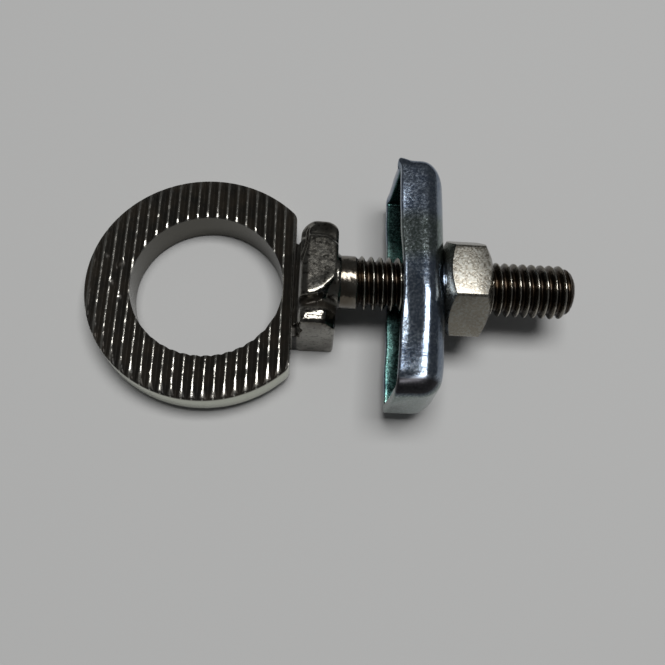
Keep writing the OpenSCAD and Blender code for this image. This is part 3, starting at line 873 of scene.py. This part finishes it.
# Satin nickel over cold-formed steel: a sparkling grain, drawn coarser than the real one
# so that it shows, and faint lines along the flats from the drawn bar.
satin_nickel, tree, shader, place = metal("satin_nickel")
sparkle = add(tree, "ShaderNodeTexNoise", {"Vector": place, "Scale": 1 / (0.26 * MM), "Detail": 3,
                                           "Roughness": 0.6})
along_bar = add(tree, "ShaderNodeMapping", {"Vector": place, "Scale": (0.12, 1, 1)})
drawn = add(tree, "ShaderNodeTexNoise", {"Vector": along_bar, "Scale": 1 / (0.3 * MM), "Detail": 3})
cloud = add(tree, "ShaderNodeTexNoise", {"Vector": place, "Scale": 1 / (2.5 * MM), "Detail": 2})
cloud_share = add(tree, "ShaderNodeMapRange", [cloud, 0.35, 0.65, 0.0, 1.0])
coat = add(tree, "ShaderNodeMix", {0: cloud_share, 6: linear("#837e74"), 7: linear("#8e897e")},
           data_type="RGBA")
sparkle_share = add(tree, "ShaderNodeMapRange", [sparkle, 0.45, 0.7, 0.0, 0.6])
colour = add(tree, "ShaderNodeMix", {0: sparkle_share, 6: coat.outputs[2], 7: linear("#aeb1ad")},
             data_type="RGBA")
tree.links.new(colour.outputs[2], shader.inputs["Base Color"])
roughness = add(tree, "ShaderNodeMapRange", [sparkle, 0.3, 0.7, 0.22, 0.34])
tree.links.new(roughness.outputs[0], shader.inputs["Roughness"])
drawn_bump = add(tree, "ShaderNodeBump", {"Height": drawn, "Distance": 0.001 * MM})
bump = add(tree, "ShaderNodeBump", {"Height": sparkle, "Distance": 0.014 * MM, "Normal": drawn_bump})
tree.links.new(bump.outputs[0], shader.inputs["Normal"])

hexagon = []
for i in range(6):
    centre_r = (NUT_AF / 2 - NUT_CORNER_R) / math.cos(math.radians(30))
    middle = math.radians(60 * i) + NUT_TURN
    for step in range(-4, 5):
        angle = middle + math.radians(30 * step / 4)
        hexagon.append((centre_r * math.cos(middle) + NUT_CORNER_R * math.cos(angle),
                        STUD_Z + centre_r * math.sin(middle) + NUT_CORNER_R * math.sin(angle)))
nut = swept("nut", [[(x, y, z) for y, z in hexagon] for x in (NUT_X, NUT_X + NUT_T)], satin_nickel,
            closed=False)
widest = NUT_AF / 2 / math.cos(math.radians(30)) + 0.4
drop = (widest - NUT_FACE_R) * math.tan(math.radians(30))
nut_profile = [(NUT_X, NUT_FACE_R), (NUT_X + drop, widest), (NUT_X + NUT_T - drop, widest),
               (NUT_X + NUT_T, NUT_FACE_R), (NUT_X + NUT_T, NUT_BORE_R + NUT_MOUTH),
               (NUT_X + NUT_T - NUT_MOUTH, NUT_BORE_R), (NUT_X + NUT_MOUTH, NUT_BORE_R),
               (NUT_X, NUT_BORE_R + NUT_MOUTH)]
turning = swept("nut_turning", [[(x, r * math.cos(2 * math.pi * i / 192),
                                  STUD_Z + r * math.sin(2 * math.pi * i / 192)) for i in range(192)]
                                for x, r in nut_profile], satin_nickel)
combined(nut, turning, "INTERSECT")
clean(nut)
ease_edges = nut.modifiers.new("ease_edges", "BEVEL")
ease_edges.width = NUT_EDGE * MM
ease_edges.segments = 2
ease_edges.limit_method = "ANGLE"
ease_edges.angle_limit = math.radians(20)
applied(nut)
shaded(nut, 30)
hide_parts("hex_nut")
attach(nut, "hex_nut")


# Studio: a plain pale floor under the part, one large soft light above it, set a little
# towards the stud's free end and far side, and a dim even grey surround.
FLOOR_HALF = 1
SOFTBOX_SIZE = (0.35, 0.216)
SOFTBOX_PLACE = (0.07, 0.047, 0.58)
SOFTBOX_WATTS = 3.1
SURROUND_STRENGTH = 0.14

floor_mesh = bpy.data.meshes.new("floor")
corners = [(x * FLOOR_HALF, y * FLOOR_HALF, 0) for x, y in ((-1, -1), (1, -1), (1, 1), (-1, 1))]
floor_mesh.from_pydata(corners, [], [(0, 1, 2, 3)])
floor = piece_from("floor", floor_mesh)
paint = bpy.data.materials.new("pale_paint")
paint.use_nodes = True
paint.node_tree.nodes["Principled BSDF"].inputs["Base Color"].default_value = linear("#b4b4b3")
paint.node_tree.nodes["Principled BSDF"].inputs["Roughness"].default_value = 0.9
floor_mesh.materials.append(paint)

softbox = bpy.data.lights.new("softbox", "AREA")
softbox.shape = "RECTANGLE"
softbox.size, softbox.size_y = SOFTBOX_SIZE
softbox.energy = SOFTBOX_WATTS
holder = bpy.data.objects.new("softbox", softbox)
holder.location = SOFTBOX_PLACE
bpy.context.collection.objects.link(holder)

world = bpy.data.worlds.new("surround")
world.use_nodes = True
world.node_tree.nodes["Background"].inputs["Color"].default_value = linear("#c8cacc")
world.node_tree.nodes["Background"].inputs["Strength"].default_value = SURROUND_STRENGTH
bpy.context.scene.world = world
bpy.context.scene.view_settings.view_transform = "Standard"


# Camera: the photograph's own view, worked out from the ring's two circles, the crests
# and the stud. It looks down on the serrated face from the near side of the stud.
CAMERA_PLACE = (11.53, -36.28, 83.0)
LOOK_DOWN_ALONG = (0.0349, 0.3682, -0.9291)
IMAGE_RIGHT = (0.9982, 0.0319, 0.0502)
FOCAL_PIXELS = 756.6
IMAGE_PIXELS = 665
SENSOR = 36.0

lens = bpy.data.cameras.new("camera")
lens.sensor_width = SENSOR
lens.lens = SENSOR * FOCAL_PIXELS / IMAGE_PIXELS
lens.clip_start = 0.001
camera = bpy.data.objects.new("camera", lens)
bpy.context.collection.objects.link(camera)
back = -Vector(LOOK_DOWN_ALONG).normalized()
right = Vector(IMAGE_RIGHT)
right = (right - back * right.dot(back)).normalized()
up = back.cross(right)
camera.matrix_world = Matrix.Translation(Vector(CAMERA_PLACE) * MM) @ Matrix(
    (right, up, back)).transposed().to_4x4()
bpy.context.scene.camera = camera
